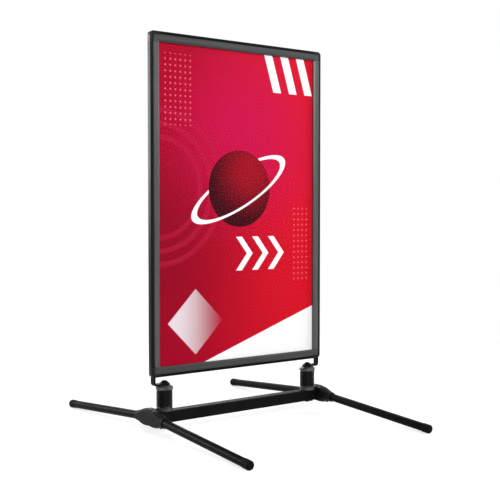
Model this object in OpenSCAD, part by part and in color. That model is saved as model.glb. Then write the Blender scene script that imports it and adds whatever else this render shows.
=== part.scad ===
// Double-sided sidewalk sign. A snap-rail poster frame stands on two coil springs
// over a steel bar with a round leg at each corner, so that wind can tip it and it
// comes back. The origin is on the floor under the middle of the sign, +Z is up
// and the front faces -Y.

/* [Poster] */
// Width of the poster sheet
poster_w = 711; // [400:1:900]
// Height of the poster sheet
poster_h = 1118; // [500:1:1400]
// Thickness of the poster sheet
poster_t = 0.3; // [0.2:0.05:0.5]
// Thickness of each clear cover sheet
cover_t = 1; // [0.6:0.1:1.2]
// Thickness of the backing panel between the posters
panel_t = 2; // [1.6:0.1:2.4]
// How far the panel's edge reaches into the frame, past the poster's edge
panel_grip = 5; // [3:0.5:6]

/* [Frame extrusion] */
// Depth of the frame from front to back
frame_d = 24; // [23:0.5:30]
// Width of the frame's face
face_w = 34; // [32:0.5:40]
// From the frame's outer edge to the poster's edge
poster_inset = 17; // [16.5:0.5:18.5]
// Wall of the extrusion
wall_t = 1.8; // [1.4:0.1:2]
// Radius of the extrusion's rounded shoulder
shoulder_r = 5; // [3:0.5:7]
// Skin of the web on each side of the panel slot
web_skin = 1.4; // [1:0.1:1.6]

/* [Snap rails] */
// From the frame's outer edge to the rail's hinge line
hinge_inset = 11; // [10:0.5:11.5]
// Depth of the hinge line below the frame's face
hinge_depth = 1.8; // [1.7:0.1:2.2]
// Radius of the bead that the rail turns on
bead_r = 1.2; // [1:0.05:1.3]
// Radial clearance of the bead in its socket
bead_gap = 0.06; // [0.03:0.01:0.1]
// Wall of the socket round the bead
socket_wall = 1; // [0.8:0.1:1.2]
// Thickness of the rail's neck, face and lip
rail_t = 1.4; // [1.1:0.1:1.6]
// From the hinge line to the step where the rail's face begins
step_run = 2.2; // [2:0.1:2.6]
// Width of the rail's sloping inner lip
lip_run = 5.5; // [4:0.5:7]
// How far the lip falls over that width
lip_fall = 4; // [3:0.5:5]
// From the hinge line to the outer side of the hook under the rail
hook_reach = 5; // [4.6:0.1:5.4]
// Radius of the rounded foot at the end of the hook
hook_r = 1.1; // [0.9:0.1:1.2]
// Depth of the centre of the hook's foot below the frame's face
hook_depth = 5.5; // [5:0.1:5.6]
// Angle that a rail opens through
rail_swing = 80; // [60:1:80]
// Clearance at each end of a rail and over the cover sheet
run_gap = 0.3; // [0.2:0.05:0.5]

/* [Corner caps] */
// Length of a corner cap along each side
cap_len = 36; // [35:0.5:44]
// Radius of the frame's outer corner
cap_r = 14; // [12:0.5:16]
// Length of the keys that join the extrusions, from the frame's corner
key_len = 60; // [50:1:90]
// Width of a key's leg
key_w = 6; // [5:0.5:6]
// Thickness of a key
key_t = 5; // [4:0.5:5.5]
// From the frame's corner to the chamfer of a key
key_chamfer = 12; // [11:0.5:13]
// Shank radius of a corner screw
cap_screw_r = 1.5; // [1.25:0.25:1.75]
// Depth of the groove that carries the rails' gap round a cap
groove_depth = 1.6; // [1:0.1:1.8]

/* [Spring units] */
// From the middle of the sign to the axis of a spring
spring_x = 317; // [150:1:330]
// Wire diameter of a coil spring
wire_d = 6; // [4:0.25:6.5]
// Mean radius of the coil
coil_r = 24.5; // [22:0.5:26]
// Rise of the coil in one turn
coil_pitch = 7; // [6.8:0.1:9]
// Turns of the coil
coil_turns = 8; // [4:1:12]
// Gap between the coil and the face of a collar
coil_gap = 0.4; // [0.3:0.1:1]
// Radius of a spring collar
collar_r = 28; // [28:0.5:32]
// Radius of the upper collar's flange
top_collar_r = 29.5; // [28:0.5:32]
// Radius of the flat top of the upper collar, inside its sloping edge
top_face_r = 22; // [19:0.5:26]
// Height of the sloping edge
top_slope_h = 5; // [3:0.5:7]
// Height of the lower collar's flange
low_collar_h = 10; // [6:0.5:16]
// Height of the upper collar's flange
top_collar_h = 14; // [8:0.5:20]
// Radius of a collar's spigot inside the coil
spigot_r = 19; // [14:0.5:19]
// Height of a collar's spigot
spigot_h = 10; // [6:0.5:16]

/* [Brackets] */
// Thickness of a bracket's steel strap
strap_t = 7; // [4:0.5:7]
// Width of the strap
strap_w = 20; // [14:0.5:20]
// From the frame's outer edge to the strap's outer side
strap_inset = 8; // [7.5:0.5:9]
// Inner radius of the strap's bend
bend_inner_r = 4; // [2:0.5:6]
// Gap between the bracket's foot and the underside of the frame
frame_gap = 22; // [18:1:60]
// Radius of the round eye at the end of the foot
eye_r = 18; // [14:0.5:24]

/* [Bar and hubs] */
// Width and height of the square bar
bar_w = 40; // [38:1:50]
// Wall of the bar
bar_wall = 2.5; // [2:0.25:3.5]
// Outer corner radius of the bar
bar_r = 4; // [2.5:0.25:5]
// How far the bar's middle lies below the legs' meeting point
bar_drop = 3; // [0:0.5:5]
// Width of a hub along the bar
hub_w = 37; // [35:0.5:44]
// From the middle of the sign to the middle of a hub
hub_x = 366.2; // [365.6:0.2:420]
// Half height of a hub at its middle
hub_r = 30; // [28:0.5:32]
// Reach of a hub along each leg
hub_reach = 88; // [84:1:110]
// Wall of a hub round a leg at its mouth
hub_wall = 3.4; // [3:0.1:5]
// Length of the solid middle between the two leg sockets
hub_core = 32; // [28:1:40]
// Length of the hub's plug inside the bar
plug_len = 24; // [16:1:25]

/* [Legs] */
// Reach of a leg from the hub's middle to its end
leg_reach = 564; // [400:1:700]
// Radius of a leg
leg_r = 14; // [11:0.25:14.25]
// Wall of a leg tube
leg_wall = 2; // [1.5:0.1:3]
// Radial clearance of a leg in its socket
leg_gap = 0.1; // [0.05:0.01:0.1]
// Angle at which a leg falls from level
leg_droop = 4.32; // [3:0.02:6]
// Angle at which a leg points outwards
leg_splay = 1.26; // [0:0.02:1.5]
// Wall of the rubber tip round a leg
tip_wall = 1; // [0.8:0.1:2.5]
// Length of a rubber tip
tip_len = 30; // [24:1:50]
// Edge radius of a rubber tip's end
tip_edge_r = 6; // [3:0.5:9]
// Depth of the flat sole cut into the rubber tip
sole_cut = 0.6; // [0.4:0.1:0.8]

/* [Bolts] */
// Shank radius of the bolts that hold the spring collars
bolt_r = 5; // [4:0.25:6]
// Radius of the domed bolt head on a bracket
dome_r = 12; // [9:0.5:13]
// Height of the domed bolt head
dome_h = 6; // [5:0.5:9]
// Lower radius of the conical washer under the domed head
washer_r = 18; // [14:0.5:20]
// Thickness of the washer
washer_t = 4; // [2:0.25:5]
// Height of the hexagon heads under the bar
hex_h = 6; // [4:0.5:7]
// Shank radius of the screw that holds a hub's plug
hub_screw_r = 4; // [3:0.25:4.5]
// Radius of a leg's set screw
set_screw_r = 4; // [3:0.25:4.5]

/* [Hidden] */
$fn = 64;

// How far a cut runs past the faces that it opens
overrun = 1;
// Clearance of a bolt or a plug in its hole
bolt_gap = 0.2;
// Clearance of a screw's thread in its tapped hole
thread_gap = 0.05;
// Clearance between a sheet's edge and the extrusion
sheet_gap = 0.3;

// Where the poster frame and its layers lie
frame_w = poster_w + 2 * poster_inset;
frame_h = poster_h + 2 * poster_inset;
panel_inset = poster_inset - panel_grip;
cover_v = panel_t / 2 + poster_t + cover_t;
web_v = panel_t / 2 + web_skin;
face_v = frame_d / 2;
hinge_v = face_v - hinge_depth;
socket_r = bead_r + bead_gap;

// The rail's section, as distances from the frame's outer edge and its middle
neck_t = bead_r;
rail_inset = hinge_inset + step_run;
slope_inset = face_w - lip_run;
lip_v = cover_v + run_gap;
hook_inset = hinge_inset + hook_reach;
hook_v = face_v - hook_depth;
// The socket's mouth opens this far past the neck on both sides
mouth_play = 5;
neck_half_angle = asin(neck_t / 2 / bead_r);
mouth_reach = 2 * step_run;

// Leaf springs under the rails: thickness, width and places along a side
leaf_t = 0.6;
leaf_w = 18;
leaf_heel = 4;
stile_leaf_shares = [-0.32, 0, 0.32];
channel_leaf_shares = [-0.26, 0.26];

// Heights of the base and of the spring units
tip_r = leg_r + tip_wall;
hub_z = (leg_reach - tip_edge_r) * sin(leg_droop) + tip_r * cos(leg_droop) - sole_cut;
bar_z = hub_z - bar_drop;
low_collar_z = bar_z + bar_w / 2;
coil_z = low_collar_z + low_collar_h + coil_gap + wire_d / 2;
coil_top_z = coil_z + coil_turns * coil_pitch;
top_collar_z = coil_top_z + wire_d / 2 + coil_gap;
foot_z = top_collar_z + top_collar_h;
washer_z = foot_z + strap_t;
frame_z = washer_z + frame_gap;

// Where things lie along the bar
bar_half = hub_x - hub_w / 2;
eye_inset = frame_w / 2 - spring_x;
bend_r = strap_t + bend_inner_r;
hub_screw_x = bar_half - plug_len / 2;

// The stop on a collar that the end of the coil's wire butts against
stop_w = wire_d * 2 / 3;

// The hub's swelling outline and its screws
hub_mouth_r = leg_r + leg_gap + hub_wall;
hub_flat_share = 0.25;
hub_steps = 12;
set_screw_t = (hub_core / 2 + hub_reach) * 0.58;
set_screw_len = 2.4 * set_screw_r;

// Rings and sides of the coil's wire
ring_count = 8;
ring_sides = 6;

// A strip outline of even thickness along points
function side_of(a, b) = [a[1] - b[1], b[0] - a[0]] / norm(b - a);
function strip_edge(points, shift) = [
    for (i = [0 : len(points) - 1])
        let (
            before = side_of(points[max(i - 1, 0)], points[max(i, 1)]),
            after = side_of(points[min(i, len(points) - 2)], points[min(i + 1, len(points) - 1)]),
            middle = (before + after) / norm(before + after)
        )
        points[i] + middle * shift / (middle * before)
];
function reversed(list) = [for (i = [len(list) - 1 : -1 : 0]) list[i]];

// The wire's centre line: a straight end, the turns and the other straight end
function coil_points() = concat(
    [[coil_r, -wire_d, coil_z]],
    [
        for (i = [0 : coil_turns * ring_count])
            let (a = 360 * i / ring_count)
            [coil_r * cos(a), coil_r * sin(a), coil_z + coil_pitch * i / ring_count]
    ],
    [[coil_r, wire_d, coil_top_z]]
);
function coil_heading(i, last) =
    let (
        a = 360 * (i - 1) / ring_count,
        rise = (i == 0 || i == last) ? 0 : coil_pitch / (2 * PI * coil_r),
        flat = (i == 0 || i == last) ? [0, 1] : [-sin(a), cos(a)],
        heading = [flat[0], flat[1], rise]
    )
    heading / norm(heading);
function wire_ring(point, heading) =
    let (
        out = [heading[1], -heading[0], 0] / norm([heading[0], heading[1]]),
        up = cross(out, heading)
    )
    [
        for (j = [0 : ring_sides - 1])
            let (a = 360 * (j + 0.5) / ring_sides)
            point + wire_d / 2 * (cos(a) * out + sin(a) * up)
    ];
function coil_rings() =
    let (points = coil_points(), last = len(points) - 1)
    [for (i = [0 : last]) wire_ring(points[i], coil_heading(i, last))];
function least_gap(rings) = min([
    for (i = [0 : len(rings) - 1])
        for (k = [i + ring_count - 2 : min(i + ring_count + 2, len(rings) - 1)])
            for (a = rings[i])
                for (b = rings[k])
                    norm(a - b)
]);
echo(least_gap_of_a_spring_to_itself = least_gap(coil_rings()));

// An outline from one inset to another whose outer corners are round
module rounded_slab(from, to, half, radius) {
    translate([from + radius, -half]) square([to - from - radius, 2 * half]);
    translate([from, radius - half]) square([radius + overrun, 2 * (half - radius)]);
    for (s = [-1, 1]) translate([from + radius, s * (half - radius)]) circle(radius);
}

// Section of the frame extrusion: shell, web with the panel slot, two bead sockets
module frame_section() {
    difference() {
        union() {
            difference() {
                rounded_slab(0, hinge_inset, face_v, shoulder_r);
                rounded_slab(wall_t, hinge_inset + overrun, face_v - wall_t, shoulder_r - wall_t);
            }
            translate([wall_t / 2, -web_v]) {
                square([poster_inset - sheet_gap - wall_t / 2, 2 * web_v]);
            }
            intersection() {
                for (s = [-1, 1]) {
                    translate([hinge_inset, s * hinge_v]) circle(socket_r + socket_wall);
                }
                translate([0, -face_v]) square([face_w, frame_d]);
            }
        }
        translate([panel_inset, -panel_t / 2]) square([poster_inset, panel_t]);
        for (s = [0, 1]) mirror([0, s]) translate([hinge_inset, hinge_v]) {
            circle(socket_r);
            socket_mouth();
        }
    }
}

// The opening that lets the rail's neck turn from level to fully open
module socket_mouth() {
    low = -neck_half_angle - mouth_play;
    high = rail_swing + neck_half_angle + mouth_play;
    polygon([
        [0, 0],
        mouth_reach * [cos(low), sin(low)],
        mouth_reach * [1, 0],
        mouth_reach * [1, 1],
        mouth_reach * [0, 1],
        mouth_reach * [cos(high), sin(high)]
    ]);
}

// Section of a snap rail in its closed place: bead, neck, face, lip and hook
module rail_section() {
    hook_end = hook_inset + rail_t;
    translate([hinge_inset, hinge_v]) circle(bead_r);
    translate([(hook_inset + hook_end) / 2, hook_v]) circle(hook_r);
    polygon([
        [hinge_inset, hinge_v + neck_t / 2],
        [hinge_inset, hinge_v - neck_t / 2],
        [rail_inset + rail_t, hinge_v - neck_t / 2],
        [rail_inset + rail_t, face_v - rail_t],
        [hook_inset, face_v - rail_t],
        [hook_inset, hook_v],
        [hook_end, hook_v],
        [hook_end, face_v - rail_t],
        [slope_inset - rail_t / 2, face_v - rail_t],
        [face_w - rail_t, face_v - lip_fall - rail_t / 2],
        [face_w - rail_t, lip_v],
        [face_w, lip_v],
        [face_w, face_v - lip_fall],
        [slope_inset, face_v],
        [rail_inset, face_v],
        [rail_inset, hinge_v + neck_t / 2]
    ]);
}

// Bent leaf spring that presses the hook: up the wall, along the web, up to the foot
module leaf_section() {
    seat_v = web_v + leaf_t / 2;
    foot_v = hook_v - hook_r - run_gap - leaf_t / 2;
    points = [
        [wall_t + leaf_t / 2, web_v + leaf_heel],
        [wall_t + leaf_t / 2, seat_v],
        [hinge_inset, seat_v],
        [hook_inset, foot_v],
        [hook_inset + 2 * rail_t, foot_v - leaf_t / 2]
    ];
    polygon(concat(strip_edge(points, leaf_t / 2), reversed(strip_edge(points, -leaf_t / 2))));
}

// Place what is drawn for one side: X runs inwards, Y forwards or back, Z along it
module on_left() translate([-frame_w / 2, 0, frame_z + frame_h / 2]) children();
module on_right() mirror([1, 0, 0]) on_left() children();
module on_top() translate([0, 0, frame_z + frame_h]) rotate([0, 90, 0]) children();
module on_bottom() translate([0, 0, frame_z]) mirror([0, 0, 1]) rotate([0, 90, 0]) children();
module to_front() mirror([0, 1, 0]) children();

// Place what is drawn for the lower left corner: X runs inwards and Z upwards
module at_corner(right, top) {
    mirror([right, 0, 0]) translate([-frame_w / 2, 0, frame_z + top * frame_h]) {
        mirror([0, 0, top]) children();
    }
}

module side_extrusion(side_len) {
    linear_extrude(side_len - 2 * cap_len, center = true) frame_section();
}

module left_stile() color("#2b2d2d") on_left() side_extrusion(frame_h);
module right_stile() color("#2b2d2d") on_right() side_extrusion(frame_h);
module top_channel() color("#2b2d2d") on_top() side_extrusion(frame_w);
module bottom_channel() color("#2b2d2d") on_bottom() side_extrusion(frame_w);

// Corner keys: a flat L with a chamfered corner, one near each face
module key_outline() {
    polygon([
        [wall_t, key_len],
        [wall_t, key_chamfer],
        [key_chamfer, wall_t],
        [key_len, wall_t],
        [key_len, wall_t + key_w],
        [wall_t + key_w, wall_t + key_w],
        [wall_t + key_w, key_len]
    ]);
}
module key_pair() {
    for (s = [0, 1]) mirror([0, s, 0]) {
        translate([0, web_v + key_t, 0]) rotate([90, 0, 0]) linear_extrude(key_t) key_outline();
    }
}

// The screws sit behind the caps, one in each leg of the rear key
screw_inset = wall_t + key_w * 2 / 3;
screw_run = (cap_len + key_chamfer) / 2;
screw_head_r = 1.8 * cap_screw_r;
screw_sink = shoulder_r / 12;
screw_len = face_v - web_v - key_t / 3 - screw_sink;
module at_screws() {
    for (place = [[screw_inset, screw_run], [screw_run, screw_inset]]) {
        translate([place[0], face_v - screw_sink, place[1]]) rotate([90, 0, 0]) children();
    }
}
module screw_form(gap) {
    cylinder(r = cap_screw_r + gap, h = screw_len);
    cylinder(r1 = screw_head_r + gap, r2 = cap_screw_r + gap, h = cap_screw_r);
}
module screw_holes() at_screws() {
    screw_form(thread_gap);
    translate([0, 0, -overrun]) cylinder(r = screw_head_r + thread_gap, h = overrun);
}
module corner_keys() color("#8d9194") {
    for (right = [0, 1]) at_corner(right, 1) difference() {
        key_pair();
        screw_holes();
    }
}
module corner_screws() color("#1b1b1c") {
    for (right = [0, 1]) for (top = [0, 1]) at_corner(right, top) at_screws() difference() {
        screw_form(0);
        translate([0, 0, -overrun]) {
            cylinder(r = cap_screw_r * 2 / 3, h = cap_screw_r + overrun, $fn = 6);
        }
    }
}

// Corner cap: two arms with the extrusion's rounded outer side, joined by a swept corner
module cap_outline_arm() {
    translate([0, 0, cap_r]) {
        linear_extrude(cap_len - cap_r) rounded_slab(0, face_w, face_v, shoulder_r);
    }
}
module lip_cut() {
    linear_extrude(cap_len + overrun) polygon([
        [slope_inset, face_v],
        [face_w, face_v - lip_fall],
        [face_w, cover_v],
        [cap_len + overrun, cover_v],
        [cap_len + overrun, face_v + overrun],
        [slope_inset, face_v + overrun]
    ]);
}
module swap_arms() mirror([0, 0, 1]) rotate([0, 90, 0]) children();
module inner_corner(inset, radius) {
    translate([inset + radius, inset]) square(cap_len);
    translate([inset, inset + radius]) square(cap_len);
    translate([inset + radius, inset + radius]) circle(radius);
}
module cap_groove() {
    translate([0, face_v + overrun, 0]) rotate([90, 0, 0]) {
        linear_extrude(groove_depth + overrun) difference() {
            inner_corner(hinge_inset, cap_r - hinge_inset);
            inner_corner(rail_inset, (cap_r - hinge_inset) / 3);
        }
    }
}
module cap_solid() {
    difference() {
        union() {
            cap_outline_arm();
            swap_arms() cap_outline_arm();
            translate([cap_r, 0, cap_r]) rotate([90, 0, 0]) rotate([0, 0, 180]) {
                rotate_extrude(angle = 90) {
                    translate([cap_r, 0]) mirror([1, 0]) rounded_slab(0, cap_r, face_v, shoulder_r);
                }
            }
        }
        for (s = [0, 1]) mirror([0, s, 0]) intersection() {
            lip_cut();
            swap_arms() lip_cut();
        }
        for (s = [0, 1]) mirror([0, s, 0]) cap_groove();
        translate([panel_inset, -panel_t / 2, panel_inset]) cube([cap_len, panel_t, cap_len]);
        translate([poster_inset - sheet_gap, -cover_v, poster_inset - sheet_gap]) {
            cube([cap_len, 2 * cover_v, cap_len]);
        }
        key_pair();
        screw_holes();
    }
}
module bottom_cap() {
    difference() {
        cap_solid();
        translate([strap_inset, -strap_w / 2, -overrun]) {
            cube([strap_t, strap_w, panel_inset - sheet_gap + overrun]);
        }
    }
}
module top_left_cap() color("#17181a") at_corner(0, 1) cap_solid();
module top_right_cap() color("#17181a") at_corner(1, 1) cap_solid();
module bottom_left_cap() color("#17181a") at_corner(0, 0) bottom_cap();
module bottom_right_cap() color("#17181a") at_corner(1, 0) bottom_cap();

// The flat layers of the sign, centred in the frame
module sheet(width, height, thickness, back) {
    translate([-width / 2, back, frame_z + (frame_h - height) / 2]) {
        cube([width, thickness, height]);
    }
}
module backing_panel() color("#c9ccce") {
    sheet(poster_w + 2 * panel_grip, poster_h + 2 * panel_grip, panel_t, -panel_t / 2);
}
module back_poster() color("#b3123a") sheet(poster_w, poster_h, poster_t, panel_t / 2);
module front_poster() color("#b3123a") to_front() sheet(poster_w, poster_h, poster_t, panel_t / 2);
module back_cover() color("#dfe6ea", 0.3) {
    sheet(poster_w, poster_h, cover_t, panel_t / 2 + poster_t);
}
module front_cover() color("#dfe6ea", 0.3) to_front() {
    sheet(poster_w, poster_h, cover_t, panel_t / 2 + poster_t);
}

// Leaf springs of one face, drawn for the back
module leaf_row(side_len, shares) {
    for (share = shares) translate([0, 0, share * side_len]) {
        linear_extrude(leaf_w, center = true) leaf_section();
    }
}
module face_leaves() {
    on_left() leaf_row(frame_h, stile_leaf_shares);
    on_right() leaf_row(frame_h, stile_leaf_shares);
    on_top() leaf_row(frame_w, channel_leaf_shares);
    on_bottom() leaf_row(frame_w, channel_leaf_shares);
}
module front_rail_springs() color("#a9abad") to_front() face_leaves();
module back_rail_springs() color("#a9abad") face_leaves();

module rail(side_len) {
    linear_extrude(side_len - 2 * (cap_len + run_gap), center = true) rail_section();
}
module front_left_rail() color("#565958") to_front() on_left() rail(frame_h);
module front_right_rail() color("#565958") to_front() on_right() rail(frame_h);
module front_top_rail() color("#565958") to_front() on_top() rail(frame_w);
module front_bottom_rail() color("#565958") to_front() on_bottom() rail(frame_w);
module back_left_rail() color("#565958") on_left() rail(frame_h);
module back_right_rail() color("#565958") on_right() rail(frame_h);
module back_top_rail() color("#565958") on_top() rail(frame_w);
module back_bottom_rail() color("#565958") on_bottom() rail(frame_w);

// Bracket: a bent strap with a round eye, welded to the keys of a lower corner
module strap_outline() {
    drop = frame_gap + strap_t;
    translate([strap_inset, bend_r - drop]) {
        square([strap_t, drop - bend_r + panel_inset - sheet_gap]);
    }
    translate([strap_inset + bend_r, -drop]) {
        square([eye_inset - strap_inset - bend_r, strap_t]);
    }
    translate([strap_inset + bend_r, bend_r - drop]) intersection() {
        difference() {
            circle(bend_r);
            circle(bend_inner_r);
        }
        translate([-bend_r, -bend_r]) square(bend_r);
    }
}
module bracket() {
    difference() {
        union() {
            rotate([90, 0, 0]) linear_extrude(strap_w, center = true) strap_outline();
            translate([eye_inset, 0, -frame_gap - strap_t]) cylinder(r = eye_r, h = strap_t);
            key_pair();
        }
        translate([eye_inset, 0, -frame_gap - strap_t - overrun]) {
            cylinder(r = bolt_r + bolt_gap, h = strap_t + 2 * overrun);
        }
        screw_holes();
    }
}
module left_bracket() color("#1c1b1b") at_corner(0, 0) bracket();
module right_bracket() color("#1c1b1b") at_corner(1, 0) bracket();

module at_units() for (s = [-1, 1]) translate([s * spring_x, 0, 0]) children();
module left_unit() translate([-spring_x, 0, 0]) children();
module right_unit() translate([spring_x, 0, 0]) children();

module top_washers() color("#3a3a3a") at_units() translate([0, 0, washer_z]) difference() {
    cylinder(r1 = washer_r, r2 = dome_r, h = washer_t);
    translate([0, 0, -overrun]) cylinder(r = bolt_r + bolt_gap, h = washer_t + 2 * overrun);
}
module top_bolts() color("#222222") at_units() {
    dome_ball_r = (dome_r * dome_r + dome_h * dome_h) / (2 * dome_h);
    translate([0, 0, washer_z + washer_t]) intersection() {
        cylinder(r = dome_r, h = dome_h);
        translate([0, 0, dome_h - dome_ball_r]) sphere(dome_ball_r, $fn = 96);
    }
    translate([0, 0, top_collar_z]) cylinder(r = bolt_r, h = washer_z + washer_t - top_collar_z);
}

// A collar stands on its flange and carries the coil on its spigot. The wire's
// end butts against the stop.
module collar(flange_h, flange_r) {
    difference() {
        union() {
            children();
            cylinder(r = spigot_r, h = flange_h + spigot_h);
            intersection() {
                translate([coil_r - stop_w, -wire_d - stop_w, 0]) {
                    cube([2 * stop_w, stop_w, flange_h + coil_gap + stop_w]);
                }
                cylinder(r = flange_r, h = flange_h + spigot_h);
            }
        }
        translate([0, 0, -overrun]) {
            cylinder(r = bolt_r + thread_gap, h = flange_h + spigot_h + 2 * overrun);
        }
    }
}
module top_collar() {
    translate([0, 0, foot_z]) rotate([180, 0, 0]) collar(top_collar_h, top_collar_r) {
        rotate_extrude() polygon([
            [0, 0],
            [top_face_r, 0],
            [top_collar_r, top_slope_h],
            [top_collar_r, top_collar_h],
            [0, top_collar_h]
        ]);
    }
}
module bottom_collar() translate([0, 0, low_collar_z]) collar(low_collar_h, collar_r) {
    cylinder(r = collar_r, h = low_collar_h);
}
module left_top_collar() color("#6d6a68") left_unit() top_collar();
module right_top_collar() color("#6d6a68") right_unit() top_collar();
module left_bottom_collar() color("#4c4a49") left_unit() bottom_collar();
module right_bottom_collar() color("#4c4a49") right_unit() bottom_collar();

module coil() {
    rings = coil_rings();
    last = len(rings) - 1;
    points = [for (ring = rings) for (p = ring) p];
    wall = [
        for (i = [0 : last - 1])
            for (j = [0 : ring_sides - 1])
                let (
                    a = i * ring_sides + j,
                    b = i * ring_sides + (j + 1) % ring_sides
                )
                for (face = [[a, b, b + ring_sides], [a, b + ring_sides, a + ring_sides]]) face
    ];
    start = [for (j = [1 : ring_sides - 2]) [0, j + 1, j]];
    end = [for (j = [1 : ring_sides - 2]) [0, j, j + 1] + last * ring_sides * [1, 1, 1]];
    polyhedron(points = points, faces = concat(wall, start, end), convexity = 10);
}
module left_spring() color("#262423") left_unit() coil();
module right_spring() color("#262423") right_unit() coil();

// Square bar with round corners, drilled for the collar bolts and the hub screws
module rounded_square(width, radius) {
    inner = width - 2 * radius;
    square([width, inner], center = true);
    square([inner, width], center = true);
    for (x = [-1, 1]) for (y = [-1, 1]) translate([x, y] * inner / 2) circle(radius);
}
module base_bar() color("#1d1c1b") difference() {
    translate([0, 0, bar_z]) rotate([0, 90, 0]) linear_extrude(2 * bar_half, center = true) {
        difference() {
            rounded_square(bar_w, bar_r);
            rounded_square(bar_w - 2 * bar_wall, bar_r - bar_wall / 2);
        }
    }
    at_units() translate([0, 0, bar_z - bar_w / 2 - overrun]) {
        cylinder(r = bolt_r + bolt_gap, h = bar_w + 2 * overrun);
    }
    for (s = [-1, 1]) translate([s * hub_screw_x, 0, bar_z - bar_w / 2 - overrun]) {
        cylinder(r = hub_screw_r + bolt_gap, h = bar_wall + 2 * overrun);
    }
}

// A hexagon-headed bolt that points up from the underside of the bar
module hex_bolt(shank_r, shank_h) {
    translate([0, 0, -hex_h]) cylinder(r = 2 * shank_r, h = hex_h, $fn = 6);
    cylinder(r = shank_r, h = shank_h);
}
module base_bolts() color("#333333") at_units() translate([0, 0, bar_z - bar_w / 2]) {
    hex_bolt(bolt_r, bar_w + low_collar_h + spigot_h / 2);
}
module hub_screws() color("#333333") for (s = [-1, 1]) {
    translate([s * hub_screw_x, 0, bar_z - bar_w / 2]) {
        hex_bolt(hub_screw_r, bar_wall + plug_len / 2);
    }
}

// Place what is drawn along Z for one leg: it points forwards, down and outwards
module on_leg(left, back) {
    mirror([left, 0, 0]) mirror([0, back, 0]) translate([hub_x, 0, hub_z]) {
        rotate([90 + leg_droop, 0, leg_splay]) children();
    }
}

// Half of a hub: a body that swells from the leg's mouth to the middle
module hub_half() {
    outline = [
        for (i = [0 : hub_steps])
            let (
                run = i / hub_steps,
                fall = max(run - hub_flat_share, 0) / (1 - hub_flat_share),
                radius = hub_mouth_r + (hub_r - hub_mouth_r) * (1 + cos(180 * fall)) / 2
            )
            [radius, run * hub_reach]
    ];
    rotate_extrude() polygon(concat([[0, -hub_core / 2], [hub_r, -hub_core / 2]],
        outline, [[0, hub_reach]]));
}
module leg_socket() {
    translate([0, 0, hub_core / 2]) cylinder(r = leg_r + leg_gap, h = hub_reach);
}
module at_set_screw() {
    translate([0, -leg_r - leg_gap, set_screw_t]) rotate([90, 0, 0]) children();
}
module hub() {
    difference() {
        union() {
            intersection() {
                for (back = [0, 1]) on_leg(0, back) hub_half();
                translate([hub_x - hub_w / 2, -hub_reach, hub_z - 2 * hub_r]) {
                    cube([hub_w, 2 * hub_reach, 4 * hub_r]);
                }
            }
            translate([bar_half - plug_len, 0, bar_z]) rotate([0, 90, 0]) {
                linear_extrude(plug_len + hub_w / 3) {
                    rounded_square(bar_w - 2 * (bar_wall + bolt_gap), bar_r - bar_wall / 2);
                }
            }
        }
        for (back = [0, 1]) on_leg(0, back) {
            leg_socket();
            at_set_screw() cylinder(r = set_screw_r + thread_gap, h = hub_r);
        }
        translate([hub_screw_x, 0, bar_z - bar_w / 2]) {
            cylinder(r = hub_screw_r + thread_gap, h = bar_wall + plug_len / 2 + overrun);
        }
    }
}
module right_hub() color("#2a2827") hub();
module left_hub() color("#2a2827") mirror([1, 0, 0]) hub();
module leg_set_screws() color("#444444") {
    for (left = [0, 1]) for (back = [0, 1]) on_leg(left, back) at_set_screw() difference() {
        cylinder(r = set_screw_r, h = set_screw_len);
        translate([0, 0, set_screw_len / 2]) {
            cylinder(r = set_screw_r / 2, h = set_screw_len, $fn = 6);
        }
    }
}

// Leg tube and its rubber tip
module leg_tube() difference() {
    translate([0, 0, hub_core / 2]) cylinder(r = leg_r, h = leg_reach - tip_edge_r - hub_core / 2);
    translate([0, 0, hub_core / 2 - overrun]) cylinder(r = leg_r - leg_wall, h = leg_reach);
}
module front_left_leg() color("#211f1e") on_leg(1, 0) leg_tube();
module front_right_leg() color("#211f1e") on_leg(0, 0) leg_tube();
module back_left_leg() color("#211f1e") on_leg(1, 1) leg_tube();
module back_right_leg() color("#211f1e") on_leg(0, 1) leg_tube();

module tip_solid() difference() {
    translate([0, 0, leg_reach - tip_len]) rotate_extrude() {
        square([tip_r, tip_len - tip_edge_r]);
        square([tip_r - tip_edge_r, tip_len]);
        translate([tip_r - tip_edge_r, tip_len - tip_edge_r]) intersection() {
            circle(tip_edge_r);
            square(tip_edge_r);
        }
    }
    translate([0, 0, leg_reach - tip_len - overrun]) {
        cylinder(r = leg_r + thread_gap, h = tip_len - tip_edge_r + overrun);
    }
}
module leg_tip(left, back) difference() {
    on_leg(left, back) tip_solid();
    translate([-leg_reach, -2 * leg_reach, -tip_r]) cube([2 * leg_reach, 4 * leg_reach, tip_r]);
}
module front_left_tip() color("#0c0c0c") leg_tip(1, 0);
module front_right_tip() color("#0c0c0c") leg_tip(0, 0);
module back_left_tip() color("#0c0c0c") leg_tip(1, 1);
module back_right_tip() color("#0c0c0c") leg_tip(0, 1);

left_stile();
right_stile();
top_channel();
bottom_channel();
top_left_cap();
top_right_cap();
bottom_left_cap();
bottom_right_cap();
corner_keys();
corner_screws();
backing_panel();
front_poster();
back_poster();
front_cover();
back_cover();
front_rail_springs();
back_rail_springs();
front_left_rail();
front_right_rail();
front_top_rail();
front_bottom_rail();
back_left_rail();
back_right_rail();
back_top_rail();
back_bottom_rail();
left_bracket();
right_bracket();
top_bolts();
top_washers();
left_top_collar();
right_top_collar();
left_spring();
right_spring();
left_bottom_collar();
right_bottom_collar();
base_bolts();
base_bar();
left_hub();
right_hub();
hub_screws();
leg_set_screws();
front_left_leg();
front_right_leg();
back_left_leg();
back_right_leg();
front_left_tip();
front_right_tip();
back_left_tip();
back_right_tip();
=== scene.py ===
import math

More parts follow.
